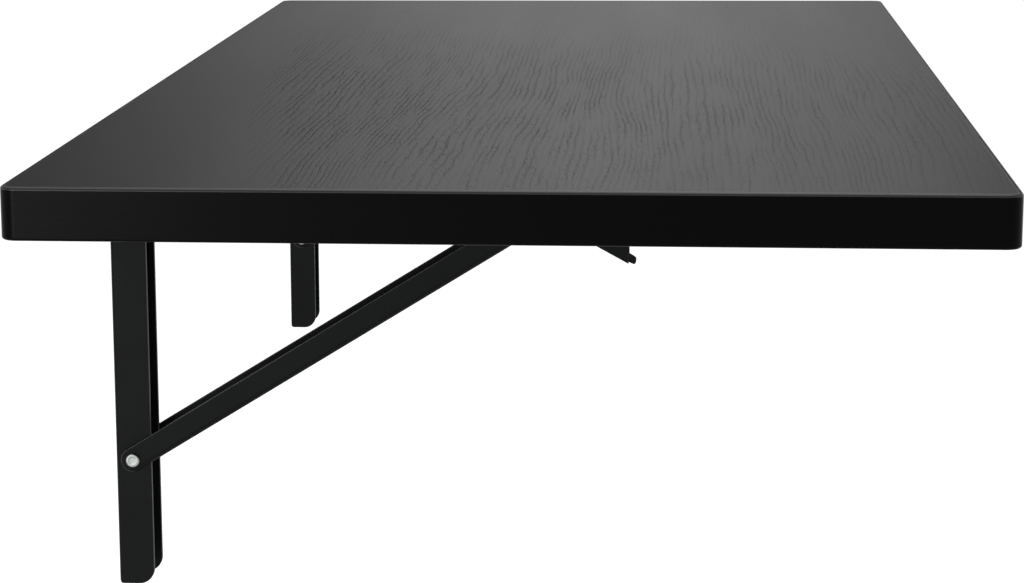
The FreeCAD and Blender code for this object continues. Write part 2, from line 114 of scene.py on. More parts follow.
@dataclass
class Workpiece:
    """A mesh on the bench, with the operations that the table's pieces share."""

    item: bpy.types.Object

    @classmethod
    def block(cls, name: str, low: Vector, high: Vector) -> "Workpiece":
        """A block between two corners.

        Args:
            name: Name of the piece.
            low: Lowest corner, in metres.
            high: Highest corner, in metres.

        Returns:
            The block, ready to be shaped.
        """
        bpy.ops.object.select_all(action="DESELECT")
        bpy.ops.mesh.primitive_cube_add(size=1.0, location=(low + high) / 2)
        bpy.context.object.scale = high - low
        return cls.take(name)

    @classmethod
    def rod(cls, name: str, centre: Vector, diameter: float, length: float, along: Along,
            sides: int = 48) -> "Workpiece":
        """A round bar about a centre point.

        Args:
            name: Name of the piece.
            centre: Middle of the bar, in metres.
            diameter: Diameter, in metres.
            length: Length, in metres.
            along: The direction it runs in.
            sides: Flats round it.

        Returns:
            The bar, ready to be shaped.
        """
        bpy.ops.object.select_all(action="DESELECT")
        bpy.ops.mesh.primitive_cylinder_add(
            vertices=sides, radius=diameter / 2, depth=length, location=centre,
            rotation=along.value)
        return cls.take(name)

    @classmethod
    def take(cls, name: str) -> "Workpiece":
        """Name the new primitive and settle it."""
        bpy.context.object.name = name
        return cls(bpy.context.object).settle()

    @classmethod
    def from_node(cls, node: str, name: str) -> "Workpiece":
        """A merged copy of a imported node's mesh.

        Args:
            node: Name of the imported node.
            name: Name of the new piece.

        Returns:
            The copy, with its flat faces whole.
        """
        item = bpy.data.objects.new(name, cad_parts[node].data.copy())
        bpy.context.scene.collection.objects.link(item)
        activate(item)
        bpy.ops.mesh.customdata_custom_splitnormals_clear()
        return cls(item).merge()

    def weld(self, *steps: Callable[[], object]) -> "Workpiece":
        """Merge doubled points, and run more operators on the whole piece."""
        return self.edit(Element.POINT, lambda ends, normal: True,
                         lambda: bpy.ops.mesh.remove_doubles(threshold=2 * FINE), *steps)

    def merge(self) -> "Workpiece":
        """Merge doubled points and make flat faces whole."""
        return self.weld(lambda: bpy.ops.mesh.dissolve_limited(angle_limit=math.radians(FLAT)))

    def settle(self) -> "Workpiece":
        """Move the object's place, turn and scale into its mesh.

        Returns:
            The same piece.
        """
        activate(self.item)
        bpy.ops.object.transform_apply(location=True, rotation=True, scale=True)
        return self

    def move(self, matrix: Matrix) -> "Workpiece":
        """Carry the piece by a matrix and settle it there.

        Args:
            matrix: A rigid movement.

        Returns:
            The same piece.
        """
        self.item.matrix_world = matrix @ self.item.matrix_world
        return self.settle()

    def edit(self, kind: Element, test: Callable[[list[Vector], Vector], bool],
             *steps: Callable[[], object]) -> "Workpiece":
        """Pick elements by their place or normal and run edit mode operators on them.

        Args:
            kind: Points, edges or faces.
            test: Says from an element's corners and its normal whether it is picked.
            *steps: The operators, in order.

        Returns:
            The same piece.
        """
        activate(self.item)
        bpy.ops.object.mode_set(mode="EDIT")
        bpy.ops.mesh.select_mode(type=kind.value)
        bpy.ops.mesh.select_all(action="DESELECT")
        bpy.ops.object.mode_set(mode="OBJECT")
        mesh = self.item.data
        if kind is Element.POINT:
            for point in mesh.vertices:
                point.select = test([point.co], point.normal)
        elif kind is Element.EDGE:
            for edge in mesh.edges:
                edge.select = test([mesh.vertices[i].co for i in edge.vertices], Vector())
        else:
            for face in mesh.polygons:
                face.select = test([mesh.vertices[i].co for i in face.vertices], face.normal)
        bpy.ops.object.mode_set(mode="EDIT")
        for step in steps:
            step()
        bpy.ops.object.mode_set(mode="OBJECT")
        return self

    def round_edges(self, test: Callable[[list[Vector]], bool], radius: float, steps: int,
                    layer: int = -1) -> "Workpiece":
        """Round the edges that a test picks.

        Args:
            test: Says from an edge's two ends whether it is rounded.
            radius: Radius, in metres.
            steps: Flats round each edge.
            layer: Which of the piece's finishes the rounding takes, or -1 for its neighbour's.

        Returns:
            The same piece.
        """
        return self.edit(
            Element.EDGE, lambda ends, normal: test(ends), lambda: bpy.ops.mesh.bevel(
                offset=radius, segments=steps, affect="EDGES", material=layer))

    def modify(self, kind: str, **settings: object) -> "Workpiece":
        """Add a modifier and apply it.

        Args:
            kind: The modifier's type.
            **settings: Its settings.

        Returns:
            The same piece.
        """
        activate(self.item)
        change = self.item.modifiers.new(kind.title(), kind)
        for name, value in settings.items():
            setattr(change, name, value)
        bpy.ops.object.modifier_apply(modifier=change.name)
        return self

    def subtract(self, *tools: "Workpiece") -> "Workpiece":
        """Cut tools out of the piece and clear them away.

        Args:
            *tools: Closed shapes.

        Returns:
            The same piece.
        """
        for tool in tools:
            self.modify("BOOLEAN", operation="DIFFERENCE", object=tool.item, solver="EXACT")
            bpy.data.objects.remove(tool.item)
        return self

    def join(self, *others: "Workpiece") -> "Workpiece":
        """Take other pieces into this one's mesh.

        Args:
            *others: Pieces of the same node.

        Returns:
            The same piece.
        """
        for other in others:
            other.item.select_set(False)
        activate(self.item)
        for other in others:
            other.item.select_set(True)
        bpy.ops.object.join()
        return self

    def copy(self, name: str) -> "Workpiece":
        """A copy with its own mesh.

        Args:
            name: Name of the copy.

        Returns:
            The copy, in the same place.
        """
        item = self.item.copy()
        item.data = self.item.data.copy()
        item.name = name
        bpy.context.scene.collection.objects.link(item)
        return Workpiece(item)

    def open_rim(self) -> "Workpiece":
        """Give the piece two empty finishes, the second one for its cut edges.

        Returns:
            The same piece.
        """
        self.item.data.materials.clear()
        for _ in range(2):
            self.item.data.materials.append(None)
        return self

    def soften(self, width: float, angle: float = 40.0) -> "Workpiece":
        """Round the sharp edges a little, so that they catch the light.

        On a piece with an open rim the roundings take the rim's finish.

        Args:
            width: Width of the rounding, in metres.
            angle: Edges sharper than this many degrees are rounded.

        Returns:
            The same piece.
        """
        self.modify("BEVEL", width=width, segments=2, limit_method="ANGLE",
                    angle_limit=math.radians(angle), use_clamp_overlap=False,
                    material=len(self.item.data.materials) - 1)
        return self.weld().smooth()

    def smooth(self, angle: float = 50.0) -> "Workpiece":
        """Shade curves smooth and keep flats flat.

        Args:
            angle: Edges sharper than this many degrees stay sharp.

        Returns:
            The same piece.
        """
        activate(self.item)
        bpy.ops.object.shade_smooth_by_angle(angle=math.radians(angle))
        return self.modify("WEIGHTED_NORMAL", keep_sharp=True, weight=100)


def linear(code: str) -> tuple[float, float, float, float]:
    """Turn an sRGB hex colour to linear light.

    Args:
        code: Six hex digits after a hash.

    Returns:
        Red, green, blue and full alpha.
    """
    parts = [int(code[i:i + 2], 16) / 255 for i in (1, 3, 5)]
    # The sRGB curve is straight near black and a power above.
    red, green, blue = (
        part / 12.92 if part <= 0.04045 else ((part + 0.055) / 1.055) ** 2.4 for part in parts
    )
    return red, green, blue, 1.0


def add_node(tree: bpy.types.NodeTree, kind: str, settings: dict | None = None,
             links: dict | None = None) -> bpy.types.Node:
    """Add a node with its settings and its links.

    Args:
        tree: The node tree.
        kind: The node's type, without its ShaderNode prefix.
        settings: Values for the node's inputs, by name or number, or for its properties.
        links: What feeds its inputs, by name or number: a socket, or a node for its first one.

    Returns:
        The new node.
    """
    node = tree.nodes.new("ShaderNode" + kind)
    plain = {key: value for key, value in (settings or {}).items()
             if isinstance(key, str) and key not in node.inputs}
    for key, value in plain.items():
        setattr(node, key, value)
    for key, value in (settings or {}).items():
        if key not in plain:
            node.inputs[key].default_value = value
    for key, source in (links or {}).items():
        socket = source.outputs[0] if isinstance(source, bpy.types.Node) else source
        tree.links.new(socket, node.inputs[key])
    return node


@dataclass(frozen=True)
class Layer:
    """Noise at a real spacing, in millimetres along X, Y and Z, with finer layers on top."""

    spacing: tuple[float, float, float]
    detail: float = 2.0

    @classmethod
    def even(cls, spacing: float, detail: float = 2.0) -> "Layer":
        """A layer with one spacing all ways."""
        return cls((spacing, spacing, spacing), detail)


@dataclass(frozen=True)
class Surface:
    """A material in the making: its nodes, its shader and its coordinates in millimetres."""

    tree: bpy.types.NodeTree
    shader: bpy.types.Node
    place: bpy.types.Node

    def noise(self, layer: Layer) -> bpy.types.Node:
        """Lay noise over the surface.

        Args:
            layer: Its spacing and detail.

        Returns:
            A node whose first value is about 0.5 on average.
        """
        return add_node(self.tree, "TexNoise",
                        {"Scale": 1.0, "Detail": layer.detail, "Roughness": 0.5},
                        {"Vector": self.grid(layer)})

    def grid(self, layer: Layer) -> bpy.types.Node:
        """Coordinates that grow by 1 with each spacing of a layer."""
        return add_node(self.tree, "Mapping", {"Scale": tuple(1 / gap for gap in layer.spacing)},
                        {"Vector": self.place})

    def total(self, *parts: tuple[bpy.types.Node | bpy.types.NodeSocket, float]) -> bpy.types.Node:
        """Add patterns together.

        Args:
            *parts: Each pattern with how much it counts.

        Returns:
            A node whose value is their weighted sum.
        """
        result = None
        for pattern, weight in parts:
            links = {0: pattern, 2: result} if result else {0: pattern}
            result = add_node(self.tree, "Math",
                              {"operation": "MULTIPLY_ADD", 1: weight, 2: 0.0}, links)
        return result

    def both(self, first: bpy.types.Node, *others: bpy.types.Node) -> bpy.types.Node:
        """A pattern that shows only where the others do.

        Args:
            first: The pattern.
            *others: What it is multiplied by.

        Returns:
            A node whose value is the product.
        """
        for other in others:
            first = add_node(self.tree, "Math", {"operation": "MULTIPLY"}, {0: first, 1: other})
        return first


@dataclass(frozen=True)
class Finish:
    """A real material and how its surface was made: by itself a smooth moulding or foil.

    A speckled finish shows its grain in its colour too. swing is how far the roughness goes
    either way, and depth the relief from low to high, in millimetres.
    """

    slot: str
    name: str
    colour: str
    dark: str
    roughness: float
    ior: float = 1.5
    metallic: float = 0.0
    gloss: float = 0.5
    grain: Layer = Layer.even(1.2)
    cloud: Layer = Layer.even(25.0)
    speckled: bool = True
    swing: float = 0.04
    depth: float = 0.01

    def material(self) -> bpy.types.Material:
        """The material, made the first time that it is asked for.

        Returns:
            The material with its pattern.
        """
        known = bpy.data.materials.get(self.name)
        if known:
            return known
        made = bpy.data.materials.new(self.name)
        made.use_nodes = True
        tree = made.node_tree
        shader = tree.nodes["Principled BSDF"]
        values = {"Metallic": self.metallic, "Roughness": self.roughness,
                  "Specular IOR Level": self.gloss}
        if not self.metallic:
            values["IOR"] = self.ior
        for name, value in values.items():
            shader.inputs[name].default_value = value
        here = add_node(tree, "TexCoord").outputs["Object"]
        place = add_node(tree, "Mapping", {"Scale": (1 / MM, 1 / MM, 1 / MM)}, {"Vector": here})
        self.pattern(Surface(tree, shader, place))
        return made

    def tint(self, surface: Surface, share: bpy.types.Node) -> None:
        """Colour the surface between the finish's colour and its dark colour."""
        mix = add_node(surface.tree, "Mix", {"data_type": "RGBA", 6: linear(self.colour),
                                             7: linear(self.dark)}, {0: share})
        surface.tree.links.new(mix.outputs[2], surface.shader.inputs["Base Color"])

    def vary_roughness(self, surface: Surface, share: bpy.types.Node) -> None:
        """Let the roughness swing about its mean."""
        rough = add_node(surface.tree, "MapRange", {"To Min": self.roughness - self.swing,
                                                    "To Max": self.roughness + self.swing},
                         {0: share})
        surface.tree.links.new(rough.outputs[0], surface.shader.inputs["Roughness"])

    def emboss(self, surface: Surface, height: bpy.types.Node) -> None:
        """Give the surface its relief."""
        bump = add_node(surface.tree, "Bump", {"Strength": 1.0, "Distance": self.depth * MM},
                        {"Height": height})
        surface.tree.links.new(bump.outputs["Normal"], surface.shader.inputs["Normal"])

    def pattern(self, surface: Surface) -> None:
        """Fine grain in relief, and slow clouds of gloss and shade.

        Args:
            surface: The material in the making.
        """
        grain, cloud = surface.noise(self.grain), surface.noise(self.cloud)
        self.tint(surface, grain if self.speckled else cloud)
        self.vary_roughness(surface, cloud)
        self.emboss(surface, grain)


@dataclass(frozen=True)
class WoodgrainLaminate(Finish):
    """Charcoal laminate pressed against a wood grain plate, the grain along Y.

    Lengths are in millimetres: groove is the way from one groove to the next, sway_by and
    wander_by are how far waves carry them aside, figure is where they are fullest, and strip
    is how far from the wall they start and are full. The rest are shares: ground is how high
    up a wave the flat ground between grooves reaches, spans are where a pattern starts and is
    full, floors what is left where it is faint.
    """

    groove: float = 3.8
    ground: float = 0.16
    sway: Layer = Layer((90.0, 600.0, 90.0), 1.0)
    sway_by: float = 45.0
    wander: Layer = Layer((14.0, 75.0, 14.0))
    wander_by: float = 6.0
    breaks: Layer = Layer((7.0, 100.0, 7.0))
    break_span: tuple[float, float] = (0.38, 0.6)
    break_floor: float = 0.22
    pore: Layer = Layer((1.0, 7.0, 1.0), 1.0)
    pore_span: tuple[float, float] = (0.62, 0.68)
    fibre: Layer = Layer((1.1, 50.0, 1.1), 1.0)
    flame: Layer = Layer((55.0, 700.0, 55.0), 1.0)
    groove_dark: float = 0.5
    flame_dark: float = 0.35
    pore_dark: float = 0.9
    groove_low: float = -0.9
    fibre_low: float = -0.6
    pore_low: float = -1.2
    swing: float = 0.06
    depth: float = 0.125
    figure: tuple[float, float] = (90.0, -180.0)
    figure_reach: float = 430.0
    figure_span: tuple[float, float] = (0.3, 1.1)
    end_floor: float = 0.15
    strip: tuple[float, float] = (36.0, 66.0)
    strip_floor: float = 0.07
    strip_slant: float = 0.14
    strip_sway: float = 30.0

    def pattern(self, surface: Surface) -> None:
        """Grooves along the table that wander and break up, slow flames and short pores.

        The grooves give the eye a silky embossed ash, lit on one flank and dark on the other,
        the flames a slow change of shade and the pores a scatter of fine dark dashes.

        Args:
            surface: The material in the making.
        """
        tree = surface.tree
        across = add_node(tree, "SeparateXYZ", links={0: surface.place})
        sway = surface.noise(self.sway)
        # Slow waves carry the grooves to and fro by centimetres, quick ones by a millimetre.
        swept = surface.total((across, 1.0), (sway, self.sway_by),
                              (surface.noise(self.wander), self.wander_by))
        turned = add_node(tree, "Math", {"operation": "MULTIPLY", 1: 2 * math.pi / self.groove},
                          {0: swept})
        wave = add_node(tree, "Math", {"operation": "SINE"}, {0: turned})
        # Flat ground lies between the grooves.
        ripples = add_node(tree, "MapRange", {"From Min": self.ground}, {0: wave})
        # Each groove fades out and starts again every few centimetres.
        broken = add_node(tree, "MapRange", {
            "From Min": self.break_span[0], "From Max": self.break_span[1],
            "To Min": self.break_floor}, {0: surface.noise(self.breaks)})
        strength = self.strength(surface, broken, across, sway)
        grooves = surface.both(ripples, strength)
        # Pores are dashes about 1 mm wide and 7 mm long, drawn a little coarse to show.
        dashes = add_node(tree, "MapRange", {
            "From Min": self.pore_span[0], "From Max": self.pore_span[1]},
            {0: surface.noise(self.pore)})
        pores = surface.both(dashes, strength)
        # Fibres lie about 1 mm apart between the grooves.
        fibres = surface.both(surface.noise(self.fibre), strength)
        shade = surface.total((grooves, self.groove_dark),
                              (surface.noise(self.flame), self.flame_dark),
                              (pores, self.pore_dark))
        self.tint(surface, shade)
        height = surface.total((grooves, self.groove_low), (fibres, self.fibre_low),
                               (pores, self.pore_low))
        self.emboss(surface, height)
        self.vary_roughness(surface, shade)

    def strength(self, surface: Surface, broken: bpy.types.Node, across: bpy.types.Node,
                 sway: bpy.types.Node) -> bpy.types.Node:
        """How strong the figure is: faint at the board's ends and in a strip by the wall.

        Args:
            surface: The material in the making.
            broken: The grooves' own strength along their length.
            across: The place in millimetres, one axis at a time.
            sway: Slow waves, which bend the strip's edge.

        Returns:
            A node whose value is the strength, from 0 to 1.
        """
        tree, scale = surface.tree, 1 / self.figure_reach
        centred = add_node(tree, "Mapping", {
            "Location": (-self.figure[0] * scale, -self.figure[1] * scale, 0.0),
            "Scale": (scale, scale, 0.0)}, {"Vector": surface.place})
        away = add_node(tree, "VectorMath", {"operation": "LENGTH"}, {0: centred})
        ends = add_node(tree, "MapRange", {
            "From Min": self.figure_span[0], "From Max": self.figure_span[1],
            "To Min": 1.0, "To Max": self.end_floor}, {0: away.outputs["Value"]})
        from_wall = surface.total((across, 1.0), (across.outputs["Y"], self.strip_slant),
                                  (sway, self.strip_sway))
        strip = add_node(tree, "MapRange", {
            "From Min": self.strip[0], "From Max": self.strip[1], "To Min": self.strip_floor},
            {0: from_wall})
        return surface.both(broken, strip, ends)


@dataclass(frozen=True)
class SatinBand(Finish):
    """ABS edge band, extruded, trimmed and buffed: long faint drawing lines and a soft satin."""

    grain: Layer = Layer((70.0, 70.0, 0.9), 3.0)
    cloud: Layer = grain
    speckled: bool = False
    swing: float = 0.06
    depth: float = 0.006


@dataclass(frozen=True)
class PowderCoat(Finish):
    """Black polyester powder baked on folded sheet steel.

    Fine orange peel gives pinhead bumps about 0.7 mm apart, which break up the highlights.
    """

    grain: Layer = Layer.even(0.7, 1.0)
    cloud: Layer = Layer.even(40.0)
    speckled: bool = False
    swing: float = 0.05
    depth: float = 0.02


@dataclass(frozen=True)
class PlatedSteel(Finish):
    """Steel with a thin bright zinc plate: faint tool marks and the cloudy bloom of zinc."""

    grain: Layer = Layer((0.25, 4.0, 0.25))
    cloud: Layer = Layer.even(2.5, 3.0)
    speckled: bool = False
    swing: float = 0.08
    depth: float = 0.004


@dataclass(frozen=True)
class ParticleBoard(Finish):
    """Wood chips pressed with resin."""

    grain: Layer = Layer((2.5, 2.5, 1 / 1.2))
    depth: float = 0.15

    def pattern(self, surface: Surface) -> None:
        """Flat chips of 1 to 4 mm in many browns.

        Args:
            surface: The material in the making.
        """
        chips = add_node(surface.tree, "TexVoronoi", {"Scale": 1.0},
                         {"Vector": surface.grid(self.grain)})
        shade = add_node(surface.tree, "SeparateColor", links={"Color": chips.outputs["Color"]})
        self.tint(surface, shade)
        self.emboss(surface, chips)


class Stock:
    """The finishes of the table's pieces."""

    LAMINATE = WoodgrainLaminate("woodgrain_laminate", "Charcoal laminate, pressed wood grain",
                                 "#1c1d1e", "#050506", 0.39, gloss=0.097)
    LAMINATE_EDGE = Finish("laminate_edge", "Trimmed laminate edge", "#8c8c88", "#70706c", 0.5,
                           gloss=0.3)
    BAND = SatinBand("edge_band", "Black ABS edge band, buffed satin", "#040405", "#020202", 0.29,
                     gloss=0.04)
    # Lighter and glossier than the band, and on the top arris only: the lighter colour is a painted
    # highlight.
    ARRIS_PAINTED_HIGHLIGHT = SatinBand("band_arris_painted_highlight", "Black ABS edge band, top arris with a painted highlight", "#1b1b1b", "#101010",
                      0.36, gloss=0.5)
    BACKER = Finish("backer_foil", "Black backer foil, matt", "#1c1d1e", "#131414", 0.6,
                    gloss=0.3)
    BOARD = ParticleBoard("particle_board", "Raw particle board", "#b08a5c", "#7a5836", 0.8,
                          gloss=0.3)
    STEEL = PowderCoat("black_powder_coat", "Black powder coat on sheet steel", "#111313",
                       "#0c0d0d", 0.44, gloss=0.075)
    # Glossier on the cut edges, and lighter there: the lighter colour is a painted highlight.
    RIM_PAINTED_HIGHLIGHT = PowderCoat("thin_powder_coat_painted_highlight", "Black powder coat, thin and shiny on a cut edge",
                     "#3c3e3d", "#303231", 0.36, gloss=0.5)
    ZINC = PlatedSteel("zinc_plated_steel", "Bright zinc plate", "#979a98", "#7c7f7d", 0.34,
                       metallic=1.0)
    NYLON = Finish("black_nylon", "Black nylon, moulded", "#1b1b1c", "#121213", 0.42, ior=1.53)
    WIRE = PlatedSteel("spring_steel", "Drawn spring wire", "#a3a4a6", "#7f8082", 0.28,
                       metallic=1.0, grain=Layer((0.1, 4.0, 0.1)))


def dress(piece: Workpiece, finish: Finish, body: str, *nodes: str,
          rim: Finish | None = None) -> None:
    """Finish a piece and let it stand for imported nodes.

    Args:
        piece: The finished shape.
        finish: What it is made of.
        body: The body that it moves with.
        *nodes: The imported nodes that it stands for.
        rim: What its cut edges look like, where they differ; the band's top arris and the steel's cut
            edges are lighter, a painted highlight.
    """
    layers = piece.item.data.materials
    for place, layer in enumerate((finish, rim) if rim else (finish,)):
        if place < len(layers):
            layers[place] = layer.material()
        else:
            layers.append(layer.material())
    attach(piece.item, body)
    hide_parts(*nodes)
    log.info("%s: %d faces, on %s", piece.item.name, len(piece.item.data.polygons), body)


def paint(node: str, finish: Finish) -> None:
    """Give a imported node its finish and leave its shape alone.

    Args:
        node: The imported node.
        finish: What it is made of.
    """
    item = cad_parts[node]
    if not item.material_slots:
        item.data.materials.append(finish.material())
    for place in item.material_slots:
        place.material = finish.material()
    log.info("%s: painted as %s", node, finish.name)


@dataclass(frozen=True)
class Worktop:
    """The board: laminate and edge band made here, core and backer as packed."""

    corner: float = 8.5
    corner_steps: int = 10
    band: float = 2.0
    arris: float = 1.5
    arris_steps: int = 5
    laminate: float = 1.0
    trim: float = 0.45
    trim_steps: int = 2
    flats_from: float = 35.0

    def build(self) -> None:
        """Make the visible layers and paint the hidden ones."""
        low, high = corners_of("edge_band")
        self.edge_band(low, high)
        self.top_laminate(low, high)
        paint("tabletop_core", Stock.BOARD)
        paint("bottom_backer", Stock.BACKER)

    def rounded_slab(self, name: str, low: Vector, high: Vector, radius: float) -> Workpiece:
        """A slab whose four upright corners are rounded.

        Args:
            name: Name of the piece.
            low: Lowest corner, in metres.
            high: Highest corner, in metres.
            radius: Radius of the corners, in millimetres.

        Returns:
            The slab.
        """
        return Workpiece.block(name, low, high).round_edges(
            lambda ends: abs(ends[0].z - ends[1].z) > FINE, radius * MM, self.corner_steps)

    def edge_band(self, low: Vector, high: Vector) -> None:
        """The band: a ring with turned arrises, cut from a rounded slab by insets.

        Args:
            low: Lowest corner of the board, in metres.
            high: Highest corner of the board, in metres.
        """
        ring = self.rounded_slab("edge_band_ring", low, high, self.corner).open_rim()
        centre = (low + high) / 2
        ring.edit(
            Element.FACE,
            lambda ends, normal: abs(normal.z) > FACING,
            lambda: bpy.ops.mesh.inset(thickness=self.band * MM),
            lambda: bpy.ops.mesh.bridge_edge_loops(),
        )
        # The bottom arris keeps the band's finish. The top one takes the lighter finish, a painted
        # highlight.
        for height, layer in ((low.z, 0), (high.z, 1)):
            ring.round_edges(
                lambda ends, at=height: level_with(ends, 2, at) and all(
                    self.on_rim(end, centre, low, high) for end in ends),
                self.arris * MM, self.arris_steps, layer)
        ring.smooth(self.flats_from)
        dress(ring, Stock.BAND, "leaf", "edge_band", rim=Stock.ARRIS_PAINTED_HIGHLIGHT)

    def on_rim(self, point: Vector, centre: Vector, low: Vector, high: Vector) -> bool:
        """Whether a point lies on the outline of the board rather than inside the band.

        Args:
            point: The point, in metres.
            centre: Middle of the board.
            low: Lowest corner of the board.
            high: Highest corner of the board.

        Returns:
            True on the outline.
        """
        half = (high - low) / 2
        reach = Vector((abs(point.x - centre.x), abs(point.y - centre.y)))
        radius = self.corner * MM
        past = Vector((reach.x - (half.x - radius), reach.y - (half.y - radius)))
        if past.x > 0 and past.y > 0:
            return abs(past.length - radius) < 10 * FINE
        return max(past.x, past.y) > radius - 10 * FINE

    def top_laminate(self, low: Vector, high: Vector) -> None:
        """The laminate: a thin sheet with rounded corners and a trimmed upper edge.

        Args:
            low: Lowest corner of the board, in metres.
            high: Highest corner of the board, in metres.
        """
        inset = Vector((self.band * MM, self.band * MM, 0.0))
        bottom = Vector((low.x, low.y, high.z - self.laminate * MM)) + inset
        sheet = self.rounded_slab("top_laminate_sheet", bottom, high - inset,
                                  self.corner - self.band).open_rim()
        sheet.round_edges(lambda ends: level_with(ends, 2, high.z), self.trim * MM,
                          self.trim_steps, layer=1)
        sheet.smooth(self.flats_from)
        dress(sheet, Stock.LAMINATE, "leaf", "top_laminate", rim=Stock.LAMINATE_EDGE)


@dataclass(frozen=True)
class FoldedChannel:
    """A channel folded from sheet, web at z = 0 and flanges up, running along +X.

    open_start and open_end are lengths at either end where the web is left out, and heel is
    the radius by which the web's start is drawn back.
    """

    length: float
    width: float
    height: float
    sheet: float = 2.0
    bend: float = 2.5
    bend_steps: int = 6
    corner_steps: int = 10
    open_start: float = 0.0
    open_end: float = 0.0
    start_round: float = 0.0
    end_round: float = 0.0
    heel: float = 0.0

    def fold(self, name: str) -> Workpiece:
        """Fold the channel from a block's web and flanges.

        Args:
            name: Name of the piece.

        Returns:
            The channel with its wall thickness, before any holes.
        """
        half, tall, long = self.width / 2 * MM, self.height * MM, self.length * MM
        piece = Workpiece.block(name, Vector((0, -half, 0)), Vector((long, half, tall)))
        piece.edit(
            Element.FACE,
            lambda ends, normal: normal.z > FACING or abs(normal.x) > FACING,
            lambda: bpy.ops.mesh.delete(type="FACE"),
        )
        piece.round_edges(
            lambda ends: level_with(ends, 2, 0.0) and abs(ends[0].y - ends[1].y) < FINE,
            self.bend * MM, self.bend_steps)
        for place, radius in ((0.0, self.start_round), (long, self.end_round)):
            if radius:
                self.round_corner(piece, place, tall, radius)
        if self.heel:
            self.draw_heel(piece)
        piece.modify("SOLIDIFY", thickness=self.sheet * MM, offset=-1.0, use_even_offset=True)
        inside = half - self.sheet * MM
        for opening, start, end in (
            (self.open_start, -MM, self.open_start * MM),
            (self.open_end, long - self.open_end * MM, long + MM),
        ):
            if opening:
                gap = Workpiece.block("gap", Vector((start, -inside, -MM)),
                                      Vector((end, inside, 2 * self.bend * MM)))
                piece.subtract(gap).merge()
        return piece

    def round_corner(self, piece: Workpiece, place: float, tall: float, radius: float) -> None:
        """Round both flanges' free corners at one end.

        Args:
            piece: The channel, still a sheet without thickness.
            place: Where the end lies along it, in metres.
            tall: Height of the flanges, in metres.
            radius: Radius of the corners, in millimetres.
        """
        piece.edit(
            Element.POINT,
            lambda ends, normal: level_with(ends, 0, place) and level_with(ends, 2, tall),
            lambda: bpy.ops.mesh.bevel(offset=radius * MM, segments=self.corner_steps,
                                       affect="VERTICES"),
        )

    def draw_heel(self, piece: Workpiece) -> None:
        """Draw the web's start back along an arc, level by level round the bend.

        Args:
            piece: The channel, still a sheet without thickness.
        """
        radius = self.heel * MM
        # Points of one level differ in their last digits, which rounding takes off.
        levels = {round(point.co.z, 7) for point in piece.item.data.vertices
                  if point.co.x < FINE and point.co.z < radius}
        for level in sorted(levels):
            back = radius - math.sqrt(radius ** 2 - (radius - level) ** 2)
            piece.edit(
                Element.POINT,
                lambda ends, normal, at=level: ends[0].x < FINE and level_with(ends, 2, at),
                lambda by=back: bpy.ops.transform.translate(value=(by, 0, 0)),
            )


@dataclass(frozen=True)
class CrossRivet:
    """A rivet across a bracket, with a turned rim and a shallow dimple on each head.

    The rim and the dimple are shares of the head's height and diameter.
    """

    shank: float
    head: float
    height: float
    rim: float = 0.55
    rim_steps: int = 5
    rim_width: float = 0.16
    dimple_width: float = 0.05
    dimple_depth: float = 0.08

    def make(self, name: str, node: str) -> Workpiece:
        """Make the rivet where its node lies.

        Args:
            name: Name of the piece.
            node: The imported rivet.

        Returns:
            The rivet in one mesh.
        """
        low, high = corners_of(node)
        centre = middle_of(node)
        tall = self.height * MM
        shank = Workpiece.rod(name, centre, self.shank * MM, high.y - low.y - tall, Along.Y)
        heads = []
        for outward, face in ((-1, low.y), (1, high.y)):
            middle = Vector((centre.x, face - outward * tall / 2, centre.z))
            heads.append(self.head_blank(name, middle, outward))
        return shank.join(*heads).smooth(angle=40.0)

    def head_blank(self, name: str, middle: Vector, outward: int) -> Workpiece:
        """One head: a disc with a rolled rim and a dimple.

        Args:
            name: Name of the rivet.
            middle: Centre of the disc, in metres.
            outward: Which way along Y the head faces.

        Returns:
            The head.
        """
        head = Workpiece.rod(name + "_head", middle, self.head * MM, self.height * MM, Along.Y)
        face = middle.y + outward * self.height * MM / 2
        head.round_edges(lambda ends: level_with(ends, 1, face), self.rim * self.height * MM,
                         self.rim_steps)
        head.edit(
            Element.FACE,
            lambda ends, normal: normal.y * outward > FACING and len(ends) > 8,
            lambda: bpy.ops.mesh.inset(thickness=self.rim_width * self.head * MM),
            lambda: bpy.ops.mesh.inset(thickness=self.dimple_width * self.head * MM,
                                       depth=-self.dimple_depth * self.height * MM),
        )
        return head


@dataclass(frozen=True)
class PanHeadScrew:
    """A pan head screw with a cross recess, head down.

    crown is the rounding as a share of the head's height, point the tip as one of the shank.
    """

    shank: float = 5.0
    head: float = 9.0
    height: float = 2.4
    length: float = 22.0
    recess: float = 4.8
    recess_width: float = 1.0
    recess_depth: float = 1.4
    crown: float = 0.6
    crown_steps: int = 4
    point: float = 0.2

    def make(self, name: str) -> Workpiece:
        """Make one screw, its bearing face at the origin.

        Args:
            name: Name of the piece.

        Returns:
            The screw in one mesh.
        """
        tall = self.height * MM
        head = Workpiece.rod(name, Vector((0, 0, -tall / 2)), self.head * MM, tall, Along.Z, sides=32)
        head.round_edges(lambda ends: level_with(ends, 2, -tall), self.crown * tall,
                         self.crown_steps)
        for long, wide in ((self.recess, self.recess_width), (self.recess_width, self.recess)):
            low = Vector((-long / 2 * MM, -wide / 2 * MM, -tall - FINE))
            high = Vector((long / 2 * MM, wide / 2 * MM, -tall + self.recess_depth * MM))
            head.subtract(Workpiece.block("driver", low, high))
        shank = Workpiece.rod(name + "_shank", Vector((0, 0, self.length / 2 * MM)),
                              self.shank * MM, self.length * MM, Along.Z, sides=24)
        shank.edit(
            Element.FACE,
            lambda ends, normal: normal.z > FACING,
            lambda: bpy.ops.transform.resize(value=(self.point, self.point, self.point)),
        )
        return head.join(shank).smooth(angle=40.0)


